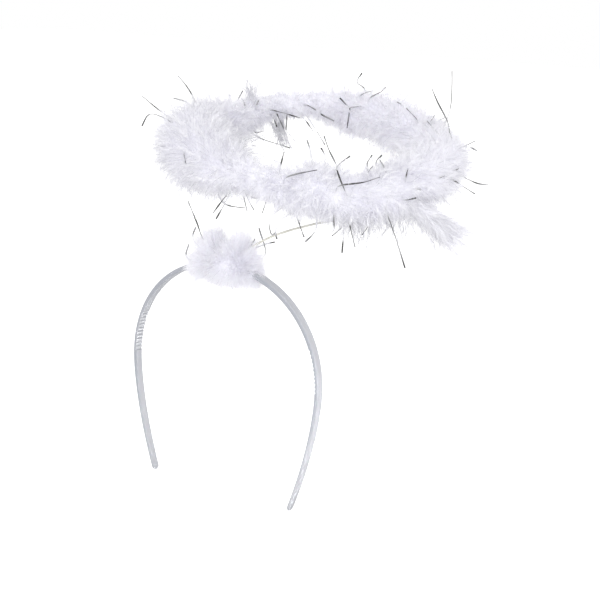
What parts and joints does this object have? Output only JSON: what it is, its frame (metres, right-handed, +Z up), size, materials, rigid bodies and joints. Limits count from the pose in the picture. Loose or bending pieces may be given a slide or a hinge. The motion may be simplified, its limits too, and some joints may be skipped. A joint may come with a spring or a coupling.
{
  "type": "halo headband",
  "caption": "Narrow plastic headband with a fluffy feather halo ring held above it on a thin bent wire, and a feather puff on its crown.",
  "frame": {"origin": "underside of the band's crown, midway between its legs, where it sits on the head", "axes": "+Z up as worn, X from leg to leg with the wearer's left at +X, the wearer facing -Y"},
  "size_m": [0.1863, 0.159, 0.236],
  "materials": {
    "band_plastic": "smooth moulded white plastic with a cool grey cast",
    "clip_plastic": "plain off-white plastic",
    "coated_wire": "cream plastic-coated wire",
    "marabou": "soft white marabou down"
  },
  "bodies": {
    "root": {"headband": "band_plastic", "wire_clip": "clip_plastic", "halo_wire": "coated_wire", "halo_boa": "marabou", "crown_puff": "marabou"}
  },
  "joints": []
}
